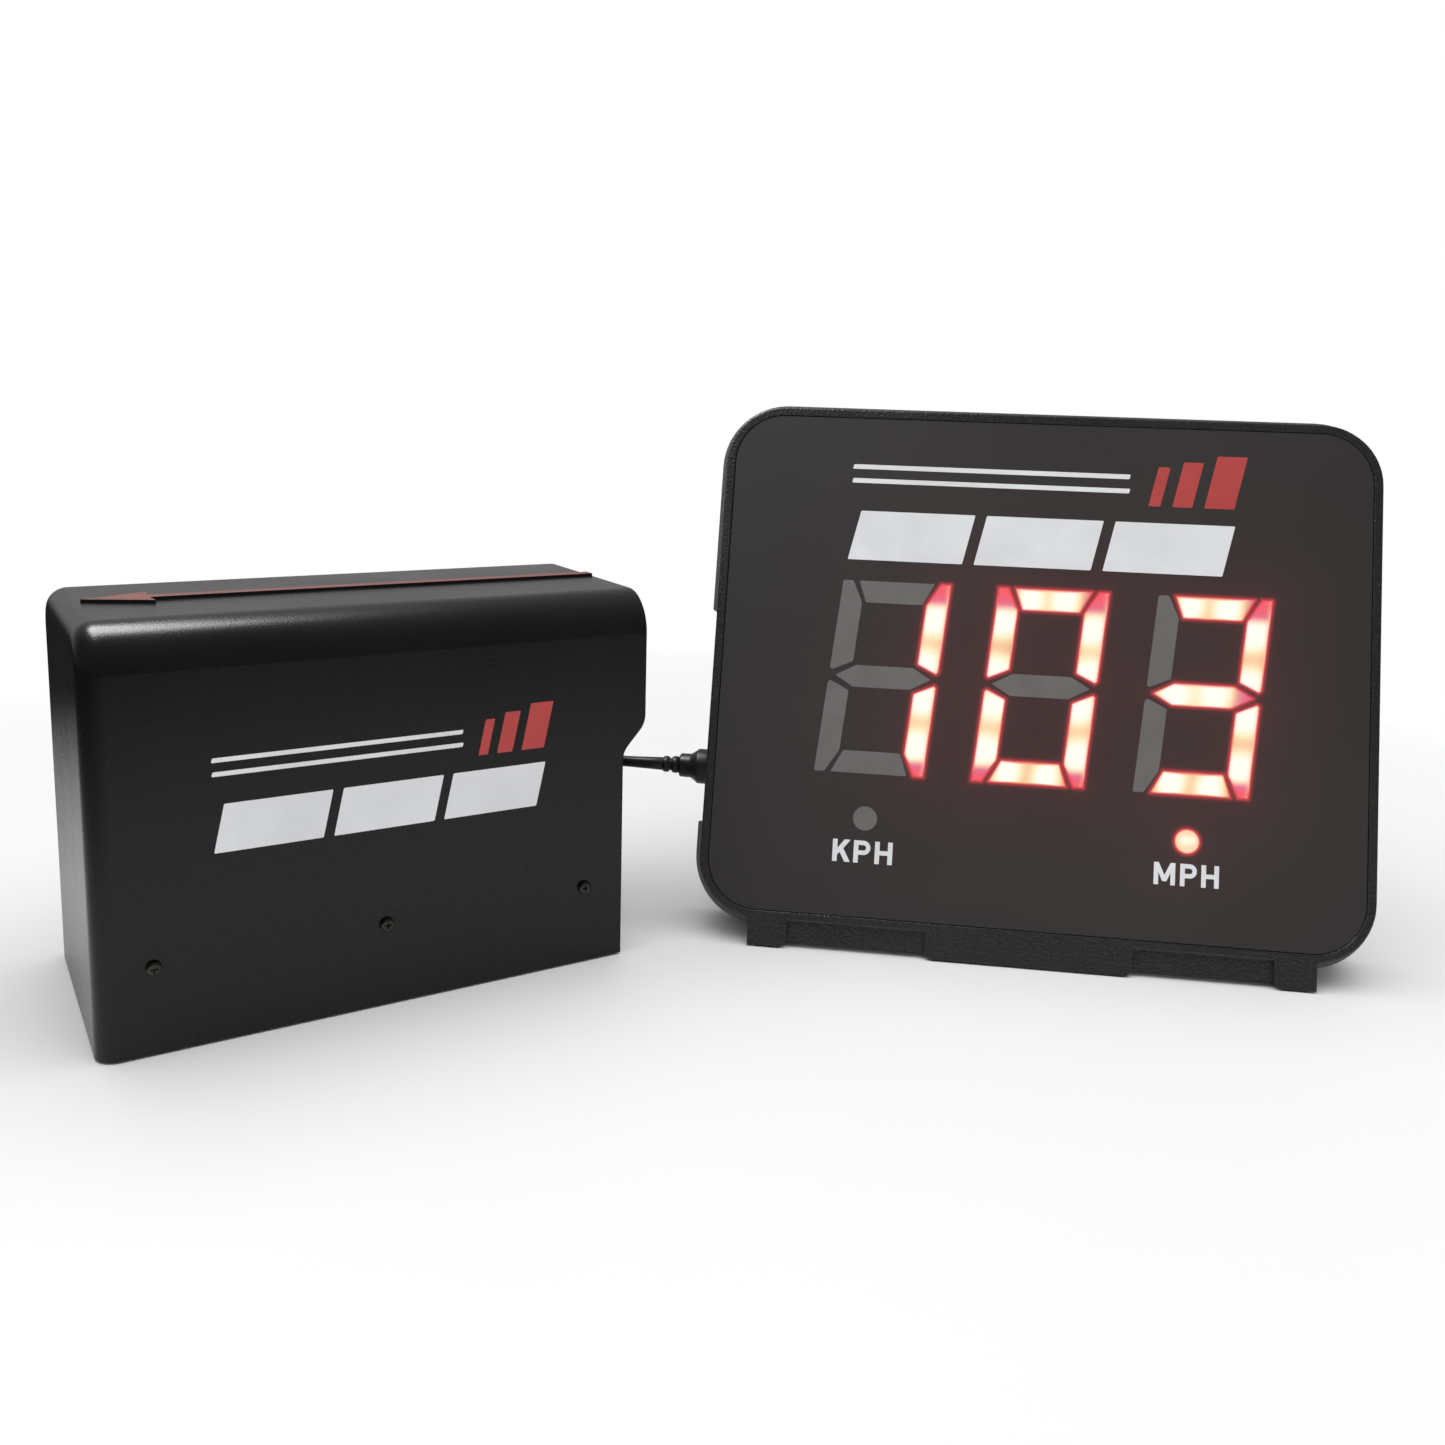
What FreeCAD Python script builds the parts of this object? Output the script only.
"""Two-unit traffic speed set: a radar head and a leaning LED speed display, joined by a cable.

World frame: millimetres, +Z up, the set stands on z = 0, the display faces -Y.
Head frame: x runs from the radar front (-) to the rear panel (+), y across the width, z up from the floor.
Screen frame: x to the right, y into the display, z up its face; its origin is at the foot of the black panel.
"""

import FreeCAD, Part
import math
import os

import Sketcher
from FreeCAD import Placement, Rotation, Vector

doc = FreeCAD.newDocument("radar_speed_set")

# ---------------------------------------------------------------- driving dimensions

DIMENSIONS = {
    # where the two units stand
    "head_place_x": -187.978,
    "head_place_y": -33.004,
    "head_yaw": 40.1,
    "screen_place_x": 145.722,
    "screen_place_y": 20.896,
    "screen_lift": 17.9,
    "screen_lean": 15.8,
    # radar head cover
    "head_length": 237.5,
    "head_width": 131.0,
    "head_height": 182.5,
    "cover_wall": 3.0,
    "cover_lift": 1.0,
    "top_radius": 19.6,
    "front_radius": 9.0,
    "hood_overhang": 12.0,
    "hood_drop": 60.5,
    "hood_radius": 11.0,
    "hood_turn": 42.0,
    "side_screw_first": 22.9,
    "side_screw_pitch": 97.1,
    "side_screw_height": 39.0,
    # radar head chassis
    "sheet_thickness": 2.0,
    "base_lift": 1.5,
    "base_front_gap": 7.75,
    "base_length": 215.0,
    "flange_height": 55.5,
    "side_clearance": 0.3,
    "panel_inset": 2.0,
    "panel_thickness": 3.0,
    "foot_radius": 8.0,
    "insert_bore": 3.175,
    "insert_depth": 10.0,
    # boards
    "board_thickness": 1.6,
    "antenna_side": 96.0,
    "antenna_height": 60.0,
    "signal_length": 48.0,
    "signal_width": 92.0,
    "standoff_height": 10.0,
    # battery bay
    "bay_length": 104.0,
    "bay_width": 48.0,
    "bay_front": -2.0,
    "cell_radius": 7.1,
    "cell_length": 50.0,
    # display
    "screen_width": 326.0,
    "screen_height": 260.0,
    "screen_radius": 26.0,
    "ring_width": 4.5,
    "frame_depth": 14.0,
    "overlay_gap": 0.4,
    "overlay_front": 0.3,
    "overlay_thickness": 2.7,
    "shell_over": 4.1,
    "shell_depth": 30.0,
    "shell_wall": 2.5,
    "digit_height": 100.0,
    "digit_width": 56.0,
    "digit_pitch": 80.3,
    "digit_foot": 73.0,
    "digit_slant": 5.4,
    "segment_width": 11.4,
    "segment_tip_cut": 1.2,
    "side_bar_tip": 5.2,
    "cross_bar_end": 8.4,
    "cross_bar_inner": 13.4,
    "centre_bar_tip": 3.3,
    "dot_radius": 6.2,
    "dot_height": 50.2,
    "foot_pad": 1.0,
    "button_radius": 5.0,
    # kickstand
    "stand_pivot_height": 160.0,
    "stand_pivot_depth": 4.5,
    "stand_length": 163.1,
    "stand_width": 96.0,
    "stand_thickness": 4.0,
    "stand_open": 30.0,
    "pin_radius": 2.0,
    "pin_clearance": 0.05,
    # link cable
    "cable_radius": 2.6,
    "coil_radius": 27.0,
}


class Size:
    """A size from the sheet, or one worked out from such sizes: its number and its expression."""

    def __init__(self, number, text):
        self.number = number
        self.text = text

    def __float__(self):
        return float(self.number)

    def __add__(self, other):
        return Size(float(self) + float(other), f"({self.text} + {words(other)})")

    def __radd__(self, other):
        return Size(float(other) + float(self), f"({words(other)} + {self.text})")

    def __sub__(self, other):
        return Size(float(self) - float(other), f"({self.text} - {words(other)})")

    def __rsub__(self, other):
        return Size(float(other) - float(self), f"({words(other)} - {self.text})")

    def __mul__(self, other):
        return Size(float(self) * float(other), f"({self.text} * {words(other)})")

    __rmul__ = __mul__

    def __truediv__(self, other):
        return Size(float(self) / float(other), f"({self.text} / {words(other)})")

    def __neg__(self):
        return Size(-float(self), f"(-1 * {self.text})")


def words(value):
    return value.text if isinstance(value, Size) else repr(float(value))


def make_sheet():
    """The spreadsheet: names in column A, plain numbers with aliases in column B."""
    sheet = doc.addObject("Spreadsheet::Sheet", "dims")
    for row, (alias, number) in enumerate(DIMENSIONS.items(), start=1):
        sheet.set(f"A{row}", alias.replace("_", " "))
        sheet.set(f"B{row}", str(number))
        sheet.setAlias(f"B{row}", alias)
    doc.recompute()
    return sheet


class Sizes:
    """The sheet's sizes by name."""


sheet = make_sheet()
S = Sizes()
for alias in DIMENSIONS:
    setattr(S, alias, Size(float(sheet.get(alias)), "dims." + alias))

# ---------------------------------------------------------------- frames of the two units

HEAD = Placement(
    Vector(float(S.head_place_x), float(S.head_place_y), 0),
    Rotation(Vector(0, 0, 1), float(S.head_yaw)),
)
SCREEN = Placement(
    Vector(float(S.screen_place_x), float(S.screen_place_y), float(S.screen_lift)),
    Rotation(Vector(1, 0, 0), -float(S.screen_lean)),
)
WORLD = Placement()

front_x = -1 * (S.head_length / 2)
rear_x = S.head_length / 2
side_y = S.head_width / 2

lean = math.radians(float(S.screen_lean))

# ---------------------------------------------------------------- building helpers

subparts = []


def bind(item, **sizes):
    """Ties an object's properties to the sheet."""
    for name, size in sizes.items():
        item.setExpression(name, words(size))


def move(item, x, y, z):
    for axis, size in zip("xyz", (x, y, z)):
        item.setExpression(f"Placement.Base.{axis}", words(size))


def point(x, y, z):
    return Vector(float(x), float(y), float(z))


def keep(label, item, frame):
    """Makes an object the sub-part of that name, placed with its unit."""
    if item.TypeId in ("Part::Box", "Part::Cylinder", "Part::Cone"):
        item = group([item])
    item.Label = label
    item.Placement = frame
    subparts.append(item)
    return item


def group(items):
    joined = doc.addObject("Part::Compound", "pieces")
    joined.Links = items
    return joined


def box(x, y, z, at):
    """A box of three sizes with its low corner at a place."""
    item = doc.addObject("Part::Box", "block")
    bind(item, Length=x, Width=y, Height=z)
    move(item, *at)
    return item


TURNS = {
    "+x": Rotation(Vector(0, 1, 0), 90),
    "-x": Rotation(Vector(0, 1, 0), -90),
    "+y": Rotation(Vector(1, 0, 0), -90),
    "-y": Rotation(Vector(1, 0, 0), 90),
    "+z": Rotation(),
    "-z": Rotation(Vector(1, 0, 0), 180),
}


def rod(radius, length, at, way="+z"):
    """A cylinder that starts at a place and runs one way."""
    item = doc.addObject("Part::Cylinder", "rod")
    item.Placement = Placement(Vector(), TURNS[way])
    bind(item, Radius=radius, Height=length)
    move(item, *at)
    return item


def cone(radius, end_radius, length, at, way="+z"):
    item = doc.addObject("Part::Cone", "cone")
    item.Placement = Placement(Vector(), TURNS[way])
    bind(item, Radius1=radius, Radius2=end_radius, Height=length)
    move(item, *at)
    return item


def fuse(items):
    whole = doc.addObject("Part::MultiFuse", "joined")
    whole.Shapes = items
    whole.Refine = True
    return whole


def cut(base, tools):
    for tool in tools:
        rest = doc.addObject("Part::Cut", "cut")
        rest.Base = base
        rest.Tool = tool
        base = rest
    return base


def solids(label, shapes, frame):
    """Repeated or free-form solids in one sub-part."""
    item = doc.addObject("Part::Feature", label)
    item.Shape = shapes[0] if len(shapes) == 1 else Part.makeCompound(shapes)
    return keep(label, item, frame)


# ---------------------------------------------------------------- sketch helpers


class Body:
    """A PartDesign body and the feature steps that it is made with."""

    def __init__(self, name):
        self.item = doc.addObject("PartDesign::Body", name)

    def sketch(self, role, offset=0):
        """A sketch on one of the body's own origin planes, moved along the plane's normal."""
        plane = [p for p in self.item.Origin.OriginFeatures if p.Role == role][0]
        sk = self.item.newObject("Sketcher::SketchObject", "sketch")
        sk.AttachmentSupport = (plane, [""])
        sk.MapMode = "FlatFace"
        sk.setExpression("AttachmentOffset.Base.z", words(offset))
        return sk

    def pad(self, sk, length, both=False, back=False):
        step = self.item.newObject("PartDesign::Pad", "pad")
        step.Profile = sk
        bind(step, Length=length)
        step.SideType = "Symmetric" if both else "One side"
        step.Reversed = back
        doc.recompute()
        return step

    def pocket(self, sk, length=None, both=False, back=False):
        """Cuts the sketch along its plane's normal, or against it when back is set."""
        before = self.item.Shape.Volume
        step = self.item.newObject("PartDesign::Pocket", "pocket")
        step.Profile = sk
        step.SideType = "Symmetric" if both else "One side"
        step.Reversed = not back
        if length is None:
            step.Type = "ThroughAll"
        else:
            bind(step, Length=length)
        doc.recompute()
        if not self.item.Shape.Volume < before - 1e-3:
            raise RuntimeError(f"a pocket of {self.item.Name} cuts nothing")
        return step

    def fillet(self, radius, choose):
        tip = self.item.Tip
        names = [f"Edge{i}" for i, edge in enumerate(tip.Shape.Edges, start=1) if choose(edge)]
        step = self.item.newObject("PartDesign::Fillet", "fillet")
        step.Base = (tip, names)
        bind(step, Radius=radius)
        doc.recompute()
        return step

    def keep(self, label, frame):
        return keep(label, self.item, frame)


def polygon(sk, points):
    """A closed outline of straight lines through points of the sketch plane."""
    corners = [Vector(float(x), float(y), 0) for x, y in points]
    for start, end in zip(corners, corners[1:] + corners[:1]):
        sk.addGeometry(Part.LineSegment(start, end), False)


def circle(sk, x, y, radius):
    number = sk.addGeometry(Part.Circle(Vector(float(x), float(y), 0), Vector(0, 0, 1), float(radius)), False)
    constraint = sk.addConstraint(Sketcher.Constraint("Radius", number, float(radius)))
    sk.setExpression(f"Constraints[{constraint}]", words(radius))


def hold(sk, kind, element, vertex, size):
    """Fixes one coordinate of a sketch vertex, from the sketch's origin, to a size."""
    constraint = sk.addConstraint(Sketcher.Constraint(kind, -1, 1, element, vertex, float(size)))
    sk.setExpression(f"Constraints[{constraint}]", words(size))


def rectangle(sk, left, low, right, high):
    """A rectangle held by its four sides."""
    corners = [(left, low), (right, low), (right, high), (left, high)]
    first = sk.GeometryCount
    polygon(sk, corners)
    for k in range(4):
        sk.addConstraint(Sketcher.Constraint("Coincident", first + k, 2, first + (k + 1) % 4, 1))
        sk.addConstraint(Sketcher.Constraint("Vertical" if k % 2 else "Horizontal", first + k))
    hold(sk, "DistanceX", first, 1, left)
    hold(sk, "DistanceY", first, 1, low)
    hold(sk, "DistanceX", first + 2, 1, right)
    hold(sk, "DistanceY", first + 2, 1, high)


def rounded(sk, left, low, right, high, radius):
    """A rectangle with rounded corners: four lines and four arcs, held by its sides and one radius."""
    x0, y0, x1, y1, r = (float(v) for v in (left, low, right, high, radius))
    first = sk.GeometryCount
    lines = [
        ((x0 + r, y0), (x1 - r, y0)),
        ((x1, y0 + r), (x1, y1 - r)),
        ((x1 - r, y1), (x0 + r, y1)),
        ((x0, y1 - r), (x0, y0 + r)),
    ]
    centres = [(x1 - r, y0 + r), (x1 - r, y1 - r), (x0 + r, y1 - r), (x0 + r, y0 + r)]
    for (a, b), (cx, cy), quarter in zip(lines, centres, (-1, 0, 1, 2)):
        sk.addGeometry(Part.LineSegment(Vector(*a, 0), Vector(*b, 0)), False)
        ring = Part.Circle(Vector(cx, cy, 0), Vector(0, 0, 1), r)
        start = quarter * math.pi / 2
        sk.addGeometry(Part.ArcOfCircle(ring, start, start + math.pi / 2), False)
    for k in range(4):
        line, arc, following = first + 2 * k, first + 2 * k + 1, first + (2 * k + 2) % 8
        sk.addConstraint(Sketcher.Constraint("Tangent", line, 2, arc, 1))
        sk.addConstraint(Sketcher.Constraint("Tangent", arc, 2, following, 1))
        if k:
            sk.addConstraint(Sketcher.Constraint("Equal", first + 1, arc))
    for k, kind in enumerate(("Horizontal", "Vertical")):
        sk.addConstraint(Sketcher.Constraint(kind, first + 2 * k))
    hold(sk, "DistanceY", first, 1, low)
    hold(sk, "DistanceX", first + 2, 1, right)
    hold(sk, "DistanceY", first + 4, 1, high)
    hold(sk, "DistanceX", first + 6, 1, left)
    constraint = sk.addConstraint(Sketcher.Constraint("Radius", first + 1, r))
    sk.setExpression(f"Constraints[{constraint}]", words(radius))


def spans(edge, axis):
    """How far an edge reaches along one axis."""
    return getattr(edge.BoundBox, axis.upper() + "Length")


def middle(edge):
    return edge.BoundBox.Center


# ---------------------------------------------------------------- shared hardware


def arc_points(centre, radius, start, end):
    """An arc edge in the sketch or XZ plane, angles in degrees."""
    ring = Part.Circle(centre, Vector(0, 0, 1), radius)
    low, high = sorted((math.radians(start), math.radians(end)))
    return Part.ArcOfCircle(ring, low, high)


def screw(radius, length, head_radius, head_height):
    """A pan-head screw with a cross recess, its head standing on z = 0 and its shank below."""
    shank = Part.makeCylinder(radius, length, Vector(0, 0, -length))
    head = Part.makeCylinder(head_radius, head_height)
    rim = [e for e in head.Edges if e.BoundBox.ZMin > head_height - 1e-6]
    head = head.makeFillet(head_height * 0.6, rim)
    slot = head_radius * 0.95
    depth = head_height * 0.6
    for long, wide in ((slot, slot * 0.22), (slot * 0.22, slot)):
        recess = Part.makeBox(long, wide, depth, Vector(-long / 2, -wide / 2, head_height - depth))
        head = head.cut(recess)
    return shank.fuse(head)


def screws(label, places, frame, radius=1.5, length=8.0, head_radius=3.2, head_height=2.2):
    """Identical screws: each place gives the seat of a head and the way that it faces."""
    shape = screw(radius, length, head_radius, head_height)
    turned = []
    for x, y, z, way in places:
        turned.append(shape.transformed(Placement(point(x, y, z), TURNS[way]).toMatrix()))
    return solids(label, turned, frame)


SMALL_SCREW = {"radius": 1.3, "head_radius": 2.4, "head_height": 1.6}


def posts(label, places, way, frame, radius, length, bore):
    """Identical round spacers."""
    post = Part.makeCylinder(radius, length).cut(Part.makeCylinder(bore, length))
    turned = []
    for x, y, z in places:
        turned.append(post.transformed(Placement(point(x, y, z), TURNS[way]).toMatrix()))
    return solids(label, turned, frame)


def tube_wire(points):
    """Straight runs joined by tangent arcs, each as large as its two runs allow, with the arcs' radii."""
    runs = [b - a for a, b in zip(points, points[1:])]
    edges = []
    radii = []
    start = points[0]
    for corner, run, after in zip(points[1:], runs, runs[1:]):
        turn = run.getAngle(after)
        reach = 0.45 * min(run.Length, after.Length)
        radii.append(reach / math.tan(turn / 2))
        enter = corner - run * (reach / run.Length)
        leave = corner + after * (reach / after.Length)
        way = (after * (1 / after.Length) - run * (1 / run.Length)).normalize()
        top = corner + way * (radii[-1] / math.cos(turn / 2) - radii[-1])
        edges.append(Part.LineSegment(start, enter).toShape())
        edges.append(Part.Arc(enter, top, leave).toShape())
        start = leave
    edges.append(Part.LineSegment(start, points[-1]).toShape())
    return Part.Wire(edges), radii


def tube(label, points, radius, frame):
    """A round lead along a route, checked against its section times its length."""
    wire, radii = tube_wire(points)
    ring = Part.Wire(Part.makeCircle(radius, points[0], points[1] - points[0]))
    shape = wire.makePipeShell([ring], True, False)
    expected = math.pi * radius * radius * wire.Length
    print(f"{label}: length {wire.Length:.1f}, radii {[round(r, 1) for r in radii]}")
    print(f"{label}: volume {shape.Volume:.1f} of {expected:.1f}")
    return solids(label, [shape], frame)


# ---------------------------------------------------------------- radar head: cover and chassis


def stepped_edge(sk, x, top, low):
    """The rear outline below a hood: down its edge, in through an S of two arcs, then down to `low`.

    Draws from (x + overhang, top) to (x, low) and returns nothing: the caller closes the outline.
    """
    radius = float(S.hood_radius)
    turn = math.radians(float(S.hood_turn))
    over = float(S.hood_overhang)
    bend = float(S.head_height - S.hood_drop)
    inward = radius * (1 - math.cos(turn))
    drop = radius * math.sin(turn)
    fall = (over - 2 * inward) / math.tan(turn)
    upper = Vector(x + over - inward, bend - drop, 0)
    lower = Vector(x + inward, bend - drop - fall, 0)
    foot = Vector(x, bend - 2 * drop - fall, 0)
    degrees = float(S.hood_turn)
    sk.addGeometry(Part.LineSegment(Vector(x + over, top, 0), Vector(x + over, bend, 0)), False)
    sk.addGeometry(arc_points(Vector(x + over - radius, bend, 0), radius, -degrees, 0), False)
    sk.addGeometry(Part.LineSegment(upper, lower), False)
    sk.addGeometry(arc_points(Vector(x + radius, foot.y, 0), radius, 180 - degrees, 180), False)
    sk.addGeometry(Part.LineSegment(foot, Vector(x, low, 0)), False)


def line(sk, start, end):
    sk.addGeometry(Part.LineSegment(Vector(*start, 0), Vector(*end, 0)), False)


def side_screw_places():
    first = front_x + S.side_screw_first
    return [first + S.side_screw_pitch * k for k in range(3)]


REAR_SCREWS = [(y, z) for z in (18.0, 152.0) for y in (-55.0, 55.0)]


def head_cover():
    """Moulded cover: top, both sides and front in one shell, open below and behind."""
    body = Body("HeadCover")
    x0, x1 = float(front_x), float(rear_x)
    low, top = float(S.cover_lift), float(S.head_height)
    sk = body.sketch("XZ_Plane")
    stepped_edge(sk, x1, top, low)
    line(sk, (x1, low), (x0, low))
    line(sk, (x0, low), (x0, top))
    line(sk, (x0, top), (x1 + float(S.hood_overhang), top))
    body.pad(sk, S.head_width, both=True)
    body.fillet(S.top_radius, lambda e: spans(e, "x") > 200 and middle(e).z > top - 1)
    body.fillet(S.front_radius, lambda e: abs(middle(e).x - x0) < 1e-3 and middle(e).z > low + 1)

    inner_y = side_y - S.cover_wall
    cavity = Body("HeadCavity")
    room = cavity.sketch("XY_Plane")
    rectangle(room, front_x + S.cover_wall, -1 * inner_y, rear_x + 40, inner_y)
    cavity.pad(room, S.head_height - S.cover_wall)
    ceiling = top - float(S.cover_wall)
    inside_x = x0 + float(S.cover_wall)
    cavity.fillet(
        S.top_radius - S.cover_wall,
        lambda e: spans(e, "x") > 200 and abs(middle(e).z - ceiling) < 1e-3,
    )
    cavity.fillet(
        S.front_radius - S.cover_wall,
        lambda e: abs(middle(e).x - inside_x) < 1e-3 and middle(e).z > low + 1,
    )
    shell = cut(body.item, [cavity.item])

    # four bosses inside, for the screws of the rear panel
    bosses = []
    holes = []
    for y, z in REAR_SCREWS:
        end = rear_panel_front(z)
        inward = 51.0 if y > 0 else -63.0
        bosses.append(box(9, 12, 8, (end - 9, inward, z - 4)))
        holes.append(rod(1.5, 8, (end, y, z), "-x"))
    for x in side_screw_places():
        holes.append(rod(1.7, S.head_width + 20, (x, -1 * side_y - 10, S.side_screw_height), "+y"))
    keep("head_cover", cut(fuse([shell] + bosses), holes), HEAD)


def rear_panel_front(z):
    """The x of the rear panel's inner face at a height."""
    over = float(S.hood_overhang) if z > float(S.head_height - S.hood_drop) else 0.0
    return float(rear_x - S.panel_inset - S.panel_thickness) + over


def head_base():
    """Folded sheet chassis: a floor with two side flanges that the cover screws into."""
    body = Body("HeadBase")
    half = float(side_y - S.cover_wall - S.side_clearance)
    low = float(S.base_lift)
    gauge = float(S.sheet_thickness)
    high = low + float(S.flange_height)
    start = front_x + S.base_front_gap
    sk = body.sketch("YZ_Plane", start)
    inner = half - gauge
    outer_path = [(-half, high), (-half, low), (half, low), (half, high)]
    inner_path = [(inner, high), (inner, low + gauge), (-inner, low + gauge), (-inner, high)]
    polygon(sk, outer_path + inner_path)
    body.pad(sk, S.base_length)

    tail = body.sketch("XY_Plane", S.base_lift)
    tail_front = start + S.base_length - 1
    rectangle(tail, tail_front, -50, rear_x - S.panel_inset - S.panel_thickness, 50)
    body.pad(tail, S.sheet_thickness)

    bay = body.sketch("XY_Plane", S.base_lift)
    rectangle(bay, S.bay_front, -1 * (S.bay_width / 2), S.bay_front + S.bay_length, S.bay_width / 2)
    body.pocket(bay, S.sheet_thickness)

    boss_hole = body.sketch("XY_Plane", S.base_lift)
    circle(boss_hole, INSERT_X, 0, 6)
    for x, y in BRACKET_SCREWS:
        circle(boss_hole, x, y, 1.3)
    body.pocket(boss_hole, S.sheet_thickness)

    holes = body.sketch("XZ_Plane")
    for x in side_screw_places():
        circle(holes, x, S.side_screw_height, 1.5)
    body.pocket(holes, S.head_width, both=True)

    # snap holes for the hinge pips of the battery door
    hinge = body.sketch("XZ_Plane")
    circle(hinge, DOOR_AXIS[0], DOOR_AXIS[1], 0.65)
    body.pocket(hinge, S.bay_width + 7, both=True)
    body.keep("head_base", HEAD)


INSERT_X = -24.0
SIGNAL_POSTS = [(x, y) for x in (-78.0, -38.0) for y in (-42.0, 42.0)]
BRACKET_SCREWS = [(-92.0, -35.0), (-92.0, 35.0)]
DOOR_AXIS = (0.5, 2.5)
SWITCH_AT = (24.0, 66.0)
JACK_AT = (24.0, 40.0)
BOOT_AT = (9.5, 16.0)
LED_AT = (24.0, 86.0)


def head_rear_panel():
    """Rear panel: follows the stepped rear edge of the cover, a little inside it."""
    body = Body("HeadRearPanel")
    low = float(S.base_lift)
    top = float(S.head_height - S.cover_wall - S.side_clearance)
    outer = float(rear_x - S.panel_inset)
    inner = outer - float(S.panel_thickness)
    over = float(S.hood_overhang)
    sk = body.sketch("XZ_Plane")
    stepped_edge(sk, outer, top, low)
    stepped_edge(sk, inner, top, low)
    line(sk, (outer, low), (inner, low))
    line(sk, (outer + over, top), (inner + over, top))
    half = side_y - S.cover_wall - S.side_clearance
    body.pad(sk, half * 2, both=True)
    corner = S.top_radius - S.cover_wall - S.side_clearance
    body.fillet(corner, lambda e: spans(e, "x") > 2.9 and spans(e, "y") < 1e-3 and middle(e).z > top - 1)

    holes = body.sketch("YZ_Plane")
    for y, z in REAR_SCREWS:
        circle(holes, y, z, 1.6)
    for (y, z), radius in ((JACK_AT, 4.0), (BOOT_AT, 4.0), (LED_AT, 1.5)):
        circle(holes, y, z, radius)
    y, z = SWITCH_AT
    rectangle(holes, y - 6.2, z - 9.4, y + 6.2, z + 9.4)
    body.pocket(holes, rear_x + 30)
    body.keep("head_rear_panel", HEAD)


def head_small_parts():
    """Screws, feet, tripod insert and the arrow on the cover."""
    height = S.side_screw_height
    near = [(x, -1 * side_y, height, "-y") for x in side_screw_places()]
    far = [(x, side_y, height, "+y") for x in side_screw_places()]
    screws("cover_screws", near + far, HEAD, length=6.8)
    back = float(S.panel_thickness)
    places = [(rear_panel_front(z) + back, y, z, "+x") for y, z in REAR_SCREWS]
    screws("rear_panel_screws", places, HEAD, length=10.0, head_radius=2.8)

    feet = [rod(S.foot_radius, S.base_lift, (x, y, 0)) for x in (-92, 92) for y in (-50, 50)]
    keep("head_feet", group(feet), HEAD)

    depth = S.insert_depth + 2
    barrel = rod(6, depth, (INSERT_X, 0, S.base_lift))
    flange = rod(8.5, 1.5, (INSERT_X, 0, S.base_lift + S.sheet_thickness))
    bore = rod(S.insert_bore, S.insert_depth, (INSERT_X, 0, S.base_lift))
    keep("head_tripod_insert", cut(fuse([barrel, flange]), [bore]), HEAD)


def aim_arrow():
    """Raised arrow along the top, its tip at the front: the way the radar looks."""
    body = Body("AimArrow")
    sk = body.sketch("XY_Plane", S.head_height)
    tip = float(front_x) + 9.3
    neck = tip + 27.0
    end = float(rear_x + S.hood_overhang)
    upper = [(tip, 0), (neck + 1.2, -12.5), (neck, -3.4), (end, -3.4)]
    polygon(sk, upper + [(x, -y) for x, y in reversed(upper[1:])])
    body.pad(sk, 1.4)
    body.keep("aim_arrow", HEAD)


# ---------------------------------------------------------------- radar head: electronics


def antenna():
    """Patch antenna board behind the front wall, its bracket, spacers, shield can and ribbon."""
    side = S.antenna_side
    face = front_x + 8.75
    corners = [(y, float(S.antenna_height) + z) for y in (-43.0, 43.0) for z in (5.0, 91.0)]
    board = box(S.board_thickness, side, side, (face, -1 * (side / 2), S.antenna_height))
    holes = [rod(1.3, S.board_thickness, (face, y, z), "+x") for y, z in corners]
    keep("antenna_board", cut(board, holes), HEAD)
    screws("antenna_screws", [(face, y, z, "-x") for y, z in corners], HEAD, length=6.0, **SMALL_SCREW)

    patches = []
    for row in range(4):
        for column in range(4):
            y = (column - 1.5) * 22.0 - 7.0
            z = S.antenna_height + side / 2 + (row - 1.5) * 22.0 - 7.0
            patches.append(box(0.3, 14, 14, (face - 0.3, y, z)))
    keep("antenna_patches", group(patches), HEAD)

    body = Body("AntennaBracket")
    behind = face + S.board_thickness + 2.4
    floor_z = S.base_lift + S.sheet_thickness
    plate = body.sketch("YZ_Plane", behind)
    rectangle(plate, -54, floor_z, 54, 160)
    body.pad(plate, 2)
    foot = body.sketch("XY_Plane", floor_z)
    rectangle(foot, behind, -54, behind + 20, 54)
    body.pad(foot, 2)
    window = body.sketch("YZ_Plane", behind)
    rectangle(window, -36, 42, 36, 146)
    body.pocket(window, 2)
    holes = body.sketch("XY_Plane", floor_z)
    for x, y in BRACKET_SCREWS:
        circle(holes, x, y, 1.6)
    body.pocket(holes, 2)
    corner_holes = body.sketch("YZ_Plane", behind)
    for y, z in corners:
        circle(corner_holes, y, z, 1.3)
    body.pocket(corner_holes, 2)
    body.keep("antenna_bracket", HEAD)

    x = float(face + S.board_thickness)
    posts("antenna_spacers", [(x, y, z) for y, z in corners], "+x", HEAD, 3.0, 2.4, 1.3)

    low_z = float(S.antenna_height) + 24
    can = box(6, 52, 50, (x, -26, low_z))
    inside = box(5.5, 51, 49, (x, -25.5, low_z + 0.5))
    keep("antenna_shield", cut(can, [inside]), HEAD)

    ribbon = Body("AntennaRibbon")
    sk = ribbon.sketch("XZ_Plane")
    route = [(x + 0.4, 66.0), (x + 0.4, 54.0), (-98.0, 47.0), (-88.0, 34.0), (-79.0, 15.6), (-73.0, 15.5)]
    polygon(sk, strip(route, 0.8))
    ribbon.pad(sk, 20, both=True)
    ribbon.keep("antenna_ribbon", HEAD)


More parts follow.
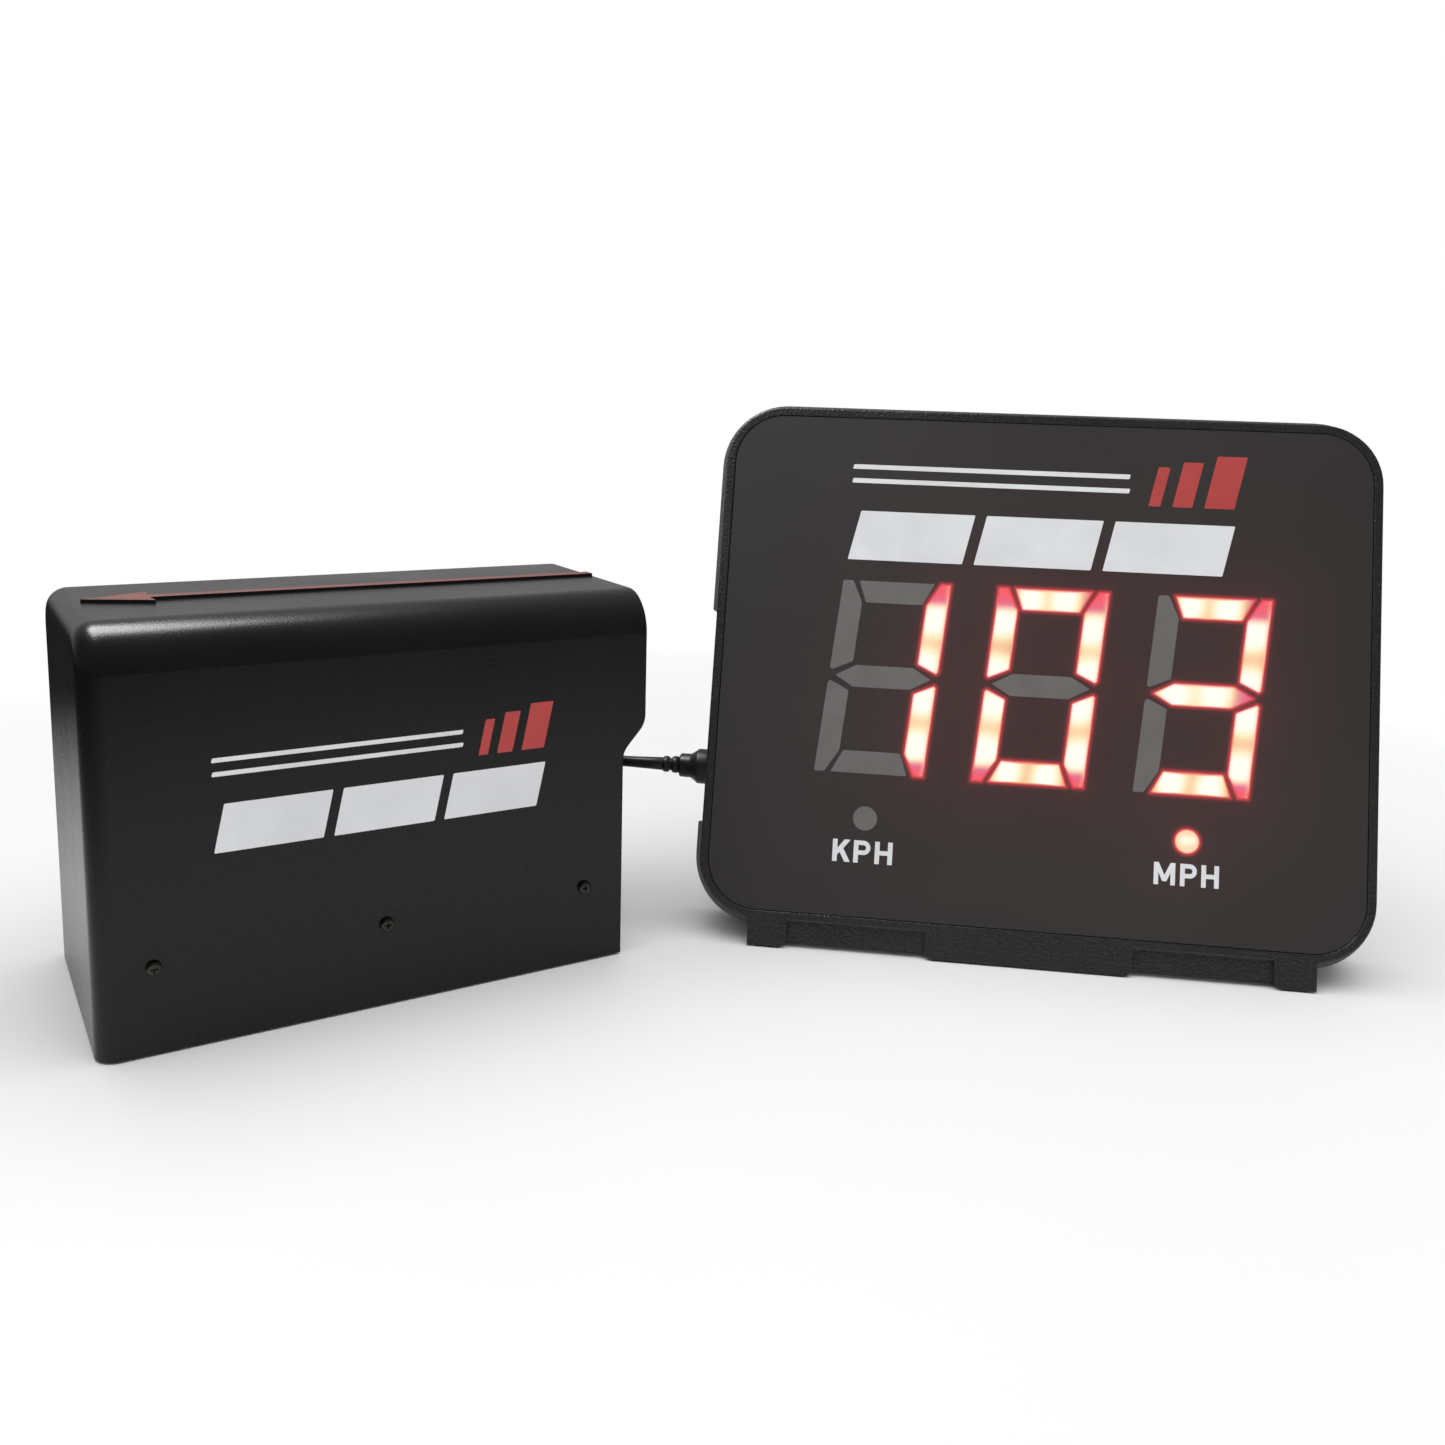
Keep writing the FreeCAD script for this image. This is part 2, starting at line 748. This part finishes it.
def strip(points, thickness):
    """The outline of a strip of even thickness along a path in a plane."""
    half = thickness / 2
    sides = ([], [])
    count = len(points)
    for k, (x, z) in enumerate(points):
        before = points[max(k - 1, 0)]
        after = points[min(k + 1, count - 1)]
        way = math.atan2(after[1] - before[1], after[0] - before[0])
        if 0 < k < count - 1:
            first = math.atan2(z - before[1], x - before[0])
            reach = half / math.cos(way - first)
        else:
            reach = half
        across = (-math.sin(way) * reach, math.cos(way) * reach)
        sides[0].append((x + across[0], z + across[1]))
        sides[1].append((x - across[0], z - across[1]))
    return sides[0] + sides[1][::-1]


def signal_board():
    """Signal board on four standoffs, with its chips, screening can and connectors."""
    floor_z = float(S.base_lift + S.sheet_thickness)
    top = floor_z + float(S.standoff_height)
    places = [(x, y, floor_z) for x, y in SIGNAL_POSTS]
    posts("board_standoffs", places, "+z", HEAD, 2.8, float(S.standoff_height), 1.3)

    plate = box(S.signal_length, S.signal_width, S.board_thickness, (-82, -1 * (S.signal_width / 2), top))
    holes = [rod(1.3, S.board_thickness, (x, y, top)) for x, y in SIGNAL_POSTS]
    keep("signal_board", cut(plate, holes), HEAD)

    face = top + float(S.board_thickness)
    chips = [
        box(14, 14, 1.4, (-60, -34, face)),
        box(9, 12, 1.8, (-72, -20, face)),
        box(8, 8, 1.2, (-50, 10, face)),
        box(6, 18, 6.5, (-42, 12, face)),
        box(10, 6, 3.0, (-72, 30, face)),
        box(16, 18, 4.0, (-66, 4, face)),
    ]
    keep("signal_chips", group(chips), HEAD)
    heads = [(x, y, face, "+z") for x, y in SIGNAL_POSTS]
    heads += [(x, y, floor_z + 2, "+z") for x, y in BRACKET_SCREWS]
    screws("board_screws", heads, HEAD, length=4.0, **SMALL_SCREW)


def battery_bay():
    """Six cells in a tray over the floor opening, with spring contacts and a hinged door below."""
    floor_z = S.base_lift + S.sheet_thickness
    x0, half = S.bay_front, S.bay_width / 2
    tray = box(S.bay_length + 4, S.bay_width + 4, 18, (x0 - 2, -1 * half - 2, floor_z))
    inside = box(S.bay_length, S.bay_width, 16, (x0, -1 * half, floor_z))
    keep("battery_tray", cut(tray, [inside]), HEAD)

    cells = []
    for row in range(2):
        for lane in (-1, 0, 1):
            start = x0 + 1 + row * (S.cell_length + 2)
            centre = (start, lane * 15.2, 12.0)
            cells.append(rod(S.cell_radius, S.cell_length - 1.2, centre, "+x"))
            nose = (start + S.cell_length - 1.2, lane * 15.2, 12.0)
            cells.append(rod(2.7, 1.2, nose, "+x"))
    pairs = [fuse(cells[k : k + 2]) for k in range(0, len(cells), 2)]
    keep("battery_cells", group(pairs), HEAD)

    plates = []
    for lane in (-1, 0, 1):
        y = lane * 15.2 - 4
        plates.append(box(0.5, 8, 10, (x0 + 0.2, y, 7.0)))
        plates.append(box(0.5, 8, 10, (x0 + S.bay_length - 0.7, y, 7.0)))
    keep("battery_contacts", group(plates), HEAD)

    body = Body("BatteryDoor")
    leaf = body.sketch("XY_Plane", S.base_lift)
    edge = half - 0.3
    rectangle(leaf, DOOR_AXIS[0] - 1.7, -1 * edge, x0 + S.bay_length - 0.3, edge)
    body.pad(leaf, S.sheet_thickness)
    pip = body.sketch("XZ_Plane")
    circle(pip, DOOR_AXIS[0], DOOR_AXIS[1], 0.6)
    body.pad(pip, edge * 2 + 5.4, both=True)
    notch = body.sketch("XY_Plane", S.base_lift)
    rounded(notch, 90, -9, 98, 9, 3.9)
    body.pocket(notch, 0.9)
    body.keep("battery_door", HEAD)


def rear_controls():
    """Rocker switch, charge jack, status light and the cable's angled boot on the rear panel."""
    outer = rear_x - S.panel_inset
    y, z = SWITCH_AT
    flange = box(1.6, 15, 21.5, (outer, y - 7.5, z - 10.75))
    case = box(20, 12.2, 18.6, (outer - 20, y - 6.1, z - 9.3))
    well = box(12, 10.4, 16, (outer - 10.4, y - 5.2, z - 8.0))
    bearing = rod(1.05, 12.2, (SWITCH_PIVOT_X, y - 6.1, z), "+y")
    keep("switch_housing", cut(fuse([flange, case]), [well, bearing]), HEAD)

    body = Body("SwitchRocker")
    sk = body.sketch("XZ_Plane", -y)
    profile = [(6.7, 6.4), (4.6, 0.0), (6.7, -6.4), (0.4, -6.4), (-2.4, -3.0), (-2.4, 3.0), (0.4, 6.4)]
    tilt = math.radians(ROCKER_TILT)
    turned = []
    for u, v in profile:
        turned.append((
            SWITCH_PIVOT_X + u * math.cos(tilt) + v * math.sin(tilt),
            z - u * math.sin(tilt) + v * math.cos(tilt),
        ))
    polygon(sk, turned)
    body.pad(sk, 10, both=True)
    axle = body.sketch("XZ_Plane", -y)
    circle(axle, SWITCH_PIVOT_X, z, 1.0)
    body.pad(axle, 12, both=True)
    body.keep("switch_rocker", HEAD)

    y, z = JACK_AT
    shell = fuse([rod(3.95, 15, (outer - 15, y, z), "+x"), rod(5.4, 1.5, (outer, y, z), "+x")])
    hollow = rod(2.75, 12, (outer - 10, y, z), "+x")
    prong = rod(1.0, 9, (outer - 10.5, y, z), "+x")
    keep("charge_jack", fuse([cut(shell, [hollow]), prong]), HEAD)
    inner = rear_x - S.panel_inset - S.panel_thickness
    ring = cut(rod(6.2, 2.0, (inner - 2, y, z), "+x"), [rod(3.95, 2.0, (inner - 2, y, z), "+x")])
    keep("jack_nut", ring, HEAD)

    y, z = LED_AT
    light = fuse([rod(1.45, 8, (outer - 7, y, z), "+x"), rod(2.2, 0.8, (outer, y, z), "+x")])
    keep("status_light", light, HEAD)

    y, z = BOOT_AT
    stem = rod(3.95, 12, (outer - 12, y, z), "+x")
    knuckle = box(15, 15, 13, (outer, y - 7.5, z - 6.5))
    taper = cone(4.9, 3.3, 20.5, (outer + BOOT_REACH, y + 7.5, z - 1.5), "+y")
    keep("cable_boot", fuse([stem, knuckle, taper]), HEAD)


SWITCH_PIVOT_X = float(rear_x - S.panel_inset) - 3.2
ROCKER_TILT = 9.0
BOOT_REACH = 8.0


# ---------------------------------------------------------------- display: front


SHELL_SCREWS = [(x, z) for z in (15.0, 200.0) for x in (-161.0, 161.0)] + [
    (x, z) for z in (4.0, 257.0) for x in (-80.0, 80.0)
]
DIGITS_LEFT = -110.9
DOTS = (-83.2, 76.9)
BLOCKS = [(-140.0, 20.0), (-49.6, 102.0), (120.0, 20.0)]
BUTTONS = (-15.0, 15.0)
BUTTON_HEIGHT = 205.0
PLUG_DEPTH = 29.0
PLUG_HEIGHT = 70.8


def level(height, depth):
    """Height along the display's face of a level plane, at a depth behind the face."""
    return (height - float(S.screen_lift) + depth * math.sin(lean)) / math.cos(lean)


def outline(sk, grow):
    """The display's rounded outline, grown from the black panel's own edge."""
    half = S.screen_width / 2 + grow
    rounded(sk, -1 * half, -grow, half, S.screen_height + grow, S.screen_radius + grow)


def block_corners():
    """The lower corners of the foot blocks that are cut off, each with the way into its block."""
    (left, left_wide), (centre, centre_wide), (right, _) = BLOCKS
    return [(left + left_wide, -1), (centre, 1), (centre + centre_wide, -1), (right, 1)]


def display_frame():
    """Front frame: textured ring round the panel, skirt and three foot blocks below it."""
    body = Body("DisplayFrame")
    ring = body.sketch("XZ_Plane")
    outline(ring, float(S.ring_width))
    body.pad(ring, S.frame_depth, back=True)
    body.fillet(1.2, lambda e: middle(e).y < 1e-3 and spans(e, "y") < 1e-3)

    depth = float(S.frame_depth)
    skirt = body.sketch("YZ_Plane")
    polygon(skirt, [(2, -3), (depth, -3), (depth, level(3, depth)), (2, level(3, 2))])
    body.pad(skirt, 280, both=True)
    for x, width in BLOCKS:
        block = body.sketch("YZ_Plane", x)
        polygon(block, [(0, -2), (12, -2), (12, level(1, 12)), (0, level(1, 0))])
        body.pad(block, width)
    trim = body.sketch("XZ_Plane")
    foot = level(1, 0)
    for x, inward in block_corners():
        polygon(trim, [(x - inward, foot - 1.6), (x + inward * 4.8, foot - 1.6), (x - inward, foot + 3.2)])
    body.pocket(trim, 12.1, back=True)

    recess = body.sketch("XZ_Plane")
    outline(recess, 0.0)
    body.pocket(recess, S.overlay_front + S.overlay_thickness, back=True)
    side, top = float(S.screen_width) / 2 + 0.01, float(S.screen_height) + 0.01
    body.fillet(0.6, lambda e: middle(e).y < 1e-3 and spans(e, "y") < 1e-3
                and abs(middle(e).x) < side and -0.01 < middle(e).z < top)
    window = body.sketch("XZ_Plane")
    outline(window, -6.0)
    body.pocket(window, S.frame_depth, back=True)
    hollow = body.sketch("XZ_Plane", -5.5)
    outline(hollow, 2.0)
    body.pocket(hollow, S.frame_depth - 5.5, back=True)

    bosses = body.sketch("XZ_Plane", -5.0)
    for x, z in SHELL_SCREWS:
        circle(bosses, x, z, 3.6)
    body.pad(bosses, S.frame_depth - 5.0, back=True)
    holes = body.sketch("XZ_Plane", -1 * S.frame_depth)
    for x, z in SHELL_SCREWS:
        circle(holes, x, z, 1.5)
    body.pocket(holes, 7.5)
    body.keep("display_frame", SCREEN)


def foot_pads():
    """Rubber pads under the three foot blocks."""
    front = S.screen_place_y + level(1, 0) * math.sin(lean) + 0.6
    pads = [
        box(width - 8, 11.0, S.foot_pad, (S.screen_place_x + x + 4, front, 0)) for x, width in BLOCKS
    ]
    keep("foot_pads", group(pads), WORLD)


def segments(digit):
    """The seven slanted bars of a digit as outlines on the panel, a to g."""
    wide, high = float(S.digit_width), float(S.digit_height)
    bar, mid = float(S.segment_width), high / 2
    end, tip = float(S.cross_bar_end), float(S.side_bar_tip)
    inner, point_in = float(S.cross_bar_inner), float(S.centre_bar_tip)
    slant = math.tan(math.radians(float(S.digit_slant)))
    left = DIGITS_LEFT + digit * float(S.digit_pitch)
    low = float(S.digit_foot)
    top = [(end, high), (wide - end, high), (wide - inner, high - bar), (inner, high - bar)]
    nick = float(S.segment_tip_cut)
    shoulder, foot = mid + bar * 2 / 3, mid + bar / 4
    side = [(0, high), (tip, high), (bar, high - bar), (bar, shoulder), (nick, foot), (0, foot + nick)]
    half = [(point_in, mid), (inner, mid + bar / 2)]
    centre = half + [(wide - u, v) for u, v in half[::-1]]
    centre += [(wide - inner, mid - bar / 2), (inner, mid - bar / 2)]
    right = [(wide - u, v) for u, v in side]
    flip = [
        top,
        right,
        [(u, high - v) for u, v in right],
        [(u, high - v) for u, v in top],
        [(u, high - v) for u, v in side],
        side,
        centre,
    ]
    return [[(left + u + v * slant, low + v) for u, v in bar_outline] for bar_outline in flip]


def prism(corners, front, depth, shrink=0.0):
    """A block of a panel outline from one depth to another, its outline drawn in by shrink."""
    wire = Part.makePolygon([Vector(x, front, z) for x, z in corners + corners[:1]])
    face = Part.Face(wire)
    if shrink:
        face = Part.Face(wire.makeOffset2D(-shrink, 2))
    return face.extrude(Vector(0, depth, 0))


def panel():
    """Dark panel with its windows, and the diffusers that fill them."""
    body = Body("DisplayOverlay")
    start = -1 * S.overlay_front
    sheet_outline = body.sketch("XZ_Plane", start)
    outline(sheet_outline, -1 * float(S.overlay_gap))
    body.pad(sheet_outline, S.overlay_thickness, back=True)
    for digit in range(3):
        windows = body.sketch("XZ_Plane", start)
        for corners in segments(digit):
            polygon(windows, corners)
        body.pocket(windows, S.overlay_thickness, back=True)
    dots = body.sketch("XZ_Plane", start)
    for x in DOTS:
        circle(dots, x, S.dot_height, S.dot_radius)
    body.pocket(dots, S.overlay_thickness, back=True)
    body.keep("display_overlay", SCREEN)

    front, depth = float(S.overlay_front) + 0.2, float(S.overlay_thickness) - 0.2
    for digit, name in enumerate(("digit_hundreds", "digit_tens", "digit_ones")):
        shapes = [prism(corners, front, depth, 0.05) for corners in segments(digit)]
        solids(name, shapes, SCREEN)
    lenses = [rod(S.dot_radius - 0.05, depth, (x, front, S.dot_height), "+y") for x in DOTS]
    keep("unit_lenses", group(lenses), SCREEN)


LED_BOARD_FRONT = 14.2


def led(x, z):
    """One surface-mount LED, centred on a point of the LED board."""
    side, height = 3.4, 1.2
    return Part.makeBox(side, height, side, Vector(x - side / 2, LED_BOARD_FRONT - height, z - side / 2))


def lamps():
    """Light box with a channel behind every bar, and the LED board that closes it."""
    behind = float(S.overlay_front + S.overlay_thickness)
    depth = LED_BOARD_FRONT - behind
    block = Part.makeBox(300, depth, 204, Vector(-150, behind, 36))
    channels = [prism(corners, behind, depth, 0.8) for digit in range(3) for corners in segments(digit)]
    for x in DOTS:
        channels.append(Part.makeCylinder(5.4, depth, Vector(x, behind, float(S.dot_height)), Vector(0, 1, 0)))
    corners = [(x, z) for x in (-144.0, 0.0, 144.0) for z in (42.0, 234.0)]
    for x, z in corners:
        channels.append(Part.makeCylinder(1.3, 6, Vector(x, LED_BOARD_FRONT - 6, z), Vector(0, 1, 0)))
    solids("light_box", [block.cut(channels)], SCREEN)

    leds = []
    for digit in range(3):
        for corners_of_bar in segments(digit):
            bar = prism(corners_of_bar, behind, 1.0)
            centre = bar.CenterOfMass
            along_x = bar.BoundBox.XLength > bar.BoundBox.ZLength
            for step in (-9.0, 9.0):
                x = centre.x + (step if along_x else step * 0.095)
                z = centre.z + (0 if along_x else step)
                leds.append(led(x, z))
    leds += [led(x, float(S.dot_height)) for x in DOTS]
    solids("leds", leds, SCREEN)

    board = box(300, S.board_thickness, 204, (-150, LED_BOARD_FRONT, 36))
    holes = [rod(1.3, S.board_thickness, (x, LED_BOARD_FRONT, z), "+y") for x, z in corners]
    keep("led_board", cut(board, holes), SCREEN)
    rear = LED_BOARD_FRONT + float(S.board_thickness)

    places = [(x, z) for x in (-54.0, 54.0) for z in (181.0, 229.0)]
    posts("driver_standoffs", [(x, rear, z) for x, z in places], "+y", SCREEN, 2.8, 8.2, 1.3)
    top = rear + 8.2
    card = box(120, S.board_thickness, 60, (-60, top, 175))
    keep("driver_board", cut(card, [rod(1.3, 1.6, (x, top, z), "+y") for x, z in places]), SCREEN)
    face = top + float(S.board_thickness)
    heads = [(x, rear, z, "+y") for x, z in corners] + [(x, face, z, "+y") for x, z in places]
    screws("display_board_screws", heads, SCREEN, length=6.0, **SMALL_SCREW)
    chips = [
        box(14, 1.6, 14, (-48, face, 195)),
        box(8, 2.4, 20, (26, face, 180)),
        box(12, 6.5, 5, (-34, face, 177)),
        box(10, 4.0, 10, (40, face, 208)),
    ]
    keep("driver_chips", group(chips), SCREEN)
    switches = [box(6, 3.5, 6, (x - 3, face, BUTTON_HEIGHT - 3)) for x in BUTTONS]
    keep("tact_switches", group(switches), SCREEN)


# ---------------------------------------------------------------- display: rear


def display_shell():
    """Rear shell: one moulding with a side pocket for the plug, hinge lugs and screw wells."""
    body = Body("DisplayShell")
    start = S.frame_depth
    rear = float(S.frame_depth + S.shell_depth)
    grow = float(S.ring_width + S.shell_over)
    sk = body.sketch("XZ_Plane", -1 * start)
    outline(sk, grow)
    body.pad(sk, S.shell_depth, back=True)
    body.fillet(5.0, lambda e: middle(e).y > rear - 1e-3 and spans(e, "y") < 1e-3)

    mouth = body.sketch("XZ_Plane", -1 * start)
    outline(mouth, 1.5)
    body.pocket(mouth, S.shell_wall, back=True)
    inner = body.sketch("XZ_Plane", -1 * (S.frame_depth + S.shell_wall))
    half = float(S.screen_width) / 2 + grow - float(S.shell_wall)
    rounded(inner, -half, 0.5, half, float(S.screen_height) + grow - float(S.shell_wall), 34.0)
    body.pocket(inner, S.shell_depth - S.shell_wall * 2, back=True)
    low = float(S.frame_depth + S.shell_wall)
    high = rear - float(S.shell_wall)
    bilge = body.sketch("YZ_Plane")
    polygon(bilge, [(low, level(3, low) + 3), (high, level(3, high) + 3), (high, 1), (low, 1)])
    body.pocket(bilge, 280, both=True)

    wall = body.sketch("XZ_Plane", -1 * start)
    rectangle(wall, -half - 1, 39.5, -162, 157.5)
    body.pad(wall, S.shell_depth, back=True)
    bosses = body.sketch("XZ_Plane", -1 * start)
    for x, z in SHELL_SCREWS:
        circle(bosses, x, z, 5.2)
    body.pad(bosses, S.shell_depth - 1, back=True)
    wells = body.sketch("XZ_Plane", -rear)
    for x, z in SHELL_SCREWS:
        circle(wells, x, z, 3.4)
    body.pocket(wells, 22)
    holes = body.sketch("XZ_Plane", -rear)
    for x, z in SHELL_SCREWS:
        circle(holes, x, z, 1.6)
    body.pocket(holes, S.shell_depth)

    pocket = body.sketch("XZ_Plane", -1 * start)
    rectangle(pocket, -180, 42, -165.5, 155)
    body.pocket(pocket, S.shell_depth, back=True)
    socket = body.sketch("YZ_Plane", -170)
    circle(socket, PLUG_DEPTH, PLUG_HEIGHT, 7)
    body.pocket(socket, 10)
    buttons = body.sketch("XZ_Plane", -rear)
    for x in BUTTONS:
        circle(buttons, x, BUTTON_HEIGHT, S.button_radius + 0.08)
    body.pocket(buttons, S.shell_wall)

    pivot_y = rear + float(S.stand_pivot_depth)
    pivot_z = float(S.stand_pivot_height)
    for x in (-44, 38):
        lug = body.sketch("YZ_Plane", x)
        lug_high, lug_low = pivot_z + 6, pivot_z - 6
        polygon(lug, [(rear - 1, lug_low), (pivot_y + 2, lug_low), (pivot_y + 4, lug_low + 3),
                      (pivot_y + 4, lug_high - 3), (pivot_y + 2, lug_high), (rear - 1, lug_high)])
        body.pad(lug, 6)
    bore = body.sketch("YZ_Plane")
    circle(bore, pivot_y, pivot_z, S.pin_radius)
    body.pocket(bore, 88, both=True)
    body.item.Placement = SCREEN

    below = box(400, 100, 30, (S.screen_place_x - 200, S.screen_place_y - 20, -27))
    well = rod(6, 10, (S.screen_place_x, INSERT_Y, 0))
    keep("display_shell", cut(body.item, [below, well]), WORLD)


INSERT_Y = float(S.screen_place_y) + 27.0


def display_rear_parts():
    """Shell screws, cable socket, tripod insert and the two push buttons."""
    rear = float(S.frame_depth + S.shell_depth)
    places = [(x, rear - 22, z, "+y") for x, z in SHELL_SCREWS]
    screws("shell_screws", places, SCREEN, length=14.0)

    centre = (PLUG_DEPTH, PLUG_HEIGHT)
    barrel = rod(7, 18, (-165.5, *centre), "+x")
    nut = rod(9, 2.5, (-162, *centre), "+x")
    mouth = rod(5.5, 12, (-165.5, *centre), "+x")
    keep("side_socket", cut(fuse([barrel, nut]), [mouth]), SCREEN)

    floor_z = 5.9
    post = rod(6, 12, (S.screen_place_x, INSERT_Y, 3))
    flange = rod(8.5, 1.5, (S.screen_place_x, INSERT_Y, floor_z))
    bore = rod(S.insert_bore, S.insert_depth, (S.screen_place_x, INSERT_Y, 3))
    keep("display_tripod_insert", cut(fuse([post, flange]), [bore]), WORLD)

    wall = rear - float(S.shell_wall)
    for x, name in zip(BUTTONS, ("power_button", "unit_button")):
        cap = rod(S.button_radius, 4.1, (x, wall - 0.1, BUTTON_HEIGHT), "+y")
        collar = rod(6.4, 1.5, (x, wall - 1.5, BUTTON_HEIGHT), "+y")
        stem = rod(2, 12, (x, wall - 10.7, BUTTON_HEIGHT), "+y")
        keep(name, fuse([cap, collar, stem]), SCREEN)


def kickstand():
    """Swing-out prop at the back: a barrel on a pin, an open plate and a rubber foot."""
    pivot = SCREEN.multVec(
        point(0, S.frame_depth + S.shell_depth + S.stand_pivot_depth, S.stand_pivot_height)
    )
    frame = Placement(pivot, Rotation(Vector(1, 0, 0), float(S.stand_open - S.screen_lean)))
    half = S.stand_thickness / 2
    body = Body("Kickstand")
    barrel = body.sketch("YZ_Plane")
    circle(barrel, 0, 0, 3.8)
    body.pad(barrel, 74, both=True)
    plate = body.sketch("XZ_Plane", half)
    tip = -157.0
    wide = float(S.stand_width) / 2
    near_side = [(-37, 0), (-37, -12), (-wide, -22), (-wide, tip)]
    polygon(plate, near_side + [(-x, z) for x, z in reversed(near_side)])
    body.pad(plate, S.stand_thickness, back=True)
    window = body.sketch("XZ_Plane", half)
    rounded(window, -36, -138, 36, -26, 10)
    body.pocket(window, S.stand_thickness, back=True)
    bore = body.sketch("YZ_Plane")
    circle(bore, 0, 0, S.pin_radius + S.pin_clearance)
    body.pocket(bore, 80, both=True)
    body.keep("kickstand", frame)

    reach = 17.0
    block = box(wide * 2 + 5, 9, reach, (-wide - 2.5, -4.5, -1 * S.stand_length - 3))
    slot = box(wide * 2, S.stand_thickness, 40, (-wide, -1 * half, tip))
    sleeve = cut(block, [slot])
    sleeve.Placement = frame
    ground = box(300, 300, 30, (S.screen_place_x - 150, 0, -30))
    keep("kickstand_foot", cut(sleeve, [ground]), WORLD)

    pin_y = S.frame_depth + S.shell_depth + S.stand_pivot_depth
    pin = rod(S.pin_radius, 88, (-44, pin_y, S.stand_pivot_height), "+x")
    keep("kickstand_pin", pin, SCREEN)


# ---------------------------------------------------------------- link cable


def place_on(frame, points):
    return [frame.multVec(point(*p)) for p in points]


COIL_CENTRE = (68.0, 133.2, 0.0)
HEAD_LEAD = [
    (124.75, 37.5, 14.5),
    (124.75, 56.0, 14.5),
    (126.0, 80.0, 8.0),
    (118.4, 94.6, 4.6),
    (104.9, 104.1, 2.9),
    (88.5, 106.2, 2.7),
    (73.0, 100.6, 2.7),
]
PLUG_END = -195.6
RELIEF_LENGTH = 24.1


def link_cable():
    """Lead from the head, the coiled spare length, the lead to the display and its plug."""
    tube("link_cable_head", place_on(HEAD, HEAD_LEAD), float(S.cable_radius), WORLD)
    outer = S.coil_radius + 7.9
    bundle = cut(rod(outer, 15.6, COIL_CENTRE), [rod(S.coil_radius - 7.9, 15.6, COIL_CENTRE)])
    keep("link_cable_coil", bundle, HEAD)

    end = SCREEN.multVec(point(PLUG_END, PLUG_DEPTH, PLUG_HEIGHT))
    way = Vector(-0.9953, 0.0166, 0.0954).normalize()
    start = end + way * RELIEF_LENGTH
    route = [start]
    for length, heading in DISPLAY_LEAD:
        route.append(route[-1] + Vector(*heading).normalize() * length)
    coil = HEAD.multVec(point(*COIL_CENTRE))
    top = coil + Vector(0, float(S.coil_radius) + 5.3, 12.9)
    route += [top + Vector(48, 0.5, -9.5), top + Vector(22, 0, -0.6), top]
    print("display lead:", [(round(p.x, 1), round(p.y, 1), round(p.z, 1)) for p in route])
    tube("link_cable_display", route, float(S.cable_radius), WORLD)

    relief = Part.makeCone(2.75, 3.6, RELIEF_LENGTH + 0.8, start, way * -1)
    rings = [(PLUG_END, 3.5, 4.4), (PLUG_END + 3.0, 6.3, 3.3), (-190.8, 4.5, 4.5)]
    shapes = []
    for x, length, radius in rings:
        shapes.append(Part.makeCylinder(radius, length, Vector(x, PLUG_DEPTH, PLUG_HEIGHT), Vector(1, 0, 0)))
    boot = shapes[0].fuse(shapes[1:]).transformed(SCREEN.toMatrix()).fuse(relief).removeSplitter()
    solids("plug_boot", [boot], WORLD)

    profile = [(-186.3, 0), (-186.3, 6.35), (-180, 6.35), (-176, 9.4), (-165.5, 9.4), (-165.5, 5.45),
               (-155, 5.45), (-155, 0)]
    outline_points = [Vector(x, PLUG_DEPTH, PLUG_HEIGHT + r) for x, r in profile]
    face = Part.Face(Part.makePolygon(outline_points + outline_points[:1]))
    body = face.revolve(Vector(0, PLUG_DEPTH, PLUG_HEIGHT), Vector(1, 0, 0), 360)
    solids("plug_body", [body], SCREEN)


DISPLAY_LEAD = [
    (16, (-0.9953, 0.0166, 0.0954)),
    (18, (-0.90, 0.20, -0.39)),
    (20, (-0.55, 0.30, -0.78)),
    (29, (-0.15, 0.30, -0.94)),
    (24, (-0.25, 0.60, -0.76)),
    (20, (-0.45, 0.80, -0.40)),
    (28, (-0.65, 0.76, -0.10)),
]


# ---------------------------------------------------------------- build, check and export

head_cover()
head_base()
head_rear_panel()
head_small_parts()
aim_arrow()
antenna()
signal_board()
battery_bay()
rear_controls()
display_frame()
foot_pads()
panel()
lamps()
display_shell()
display_rear_parts()
kickstand()
link_cable()

doc.recompute()
for item in doc.Objects:
    if "Invalid" in item.State or "Error" in item.State:
        raise RuntimeError(f"{item.Label} did not recompute: {item.State}")
os.makedirs("parts", exist_ok=True)
for item in subparts:
    if item.Shape.isNull() or not item.Shape.isValid():
        raise RuntimeError(f"{item.Label} has no valid shape")
    item.Shape.exportStep(f"parts/{item.Label}.step")
print(len(subparts), "sub-parts")
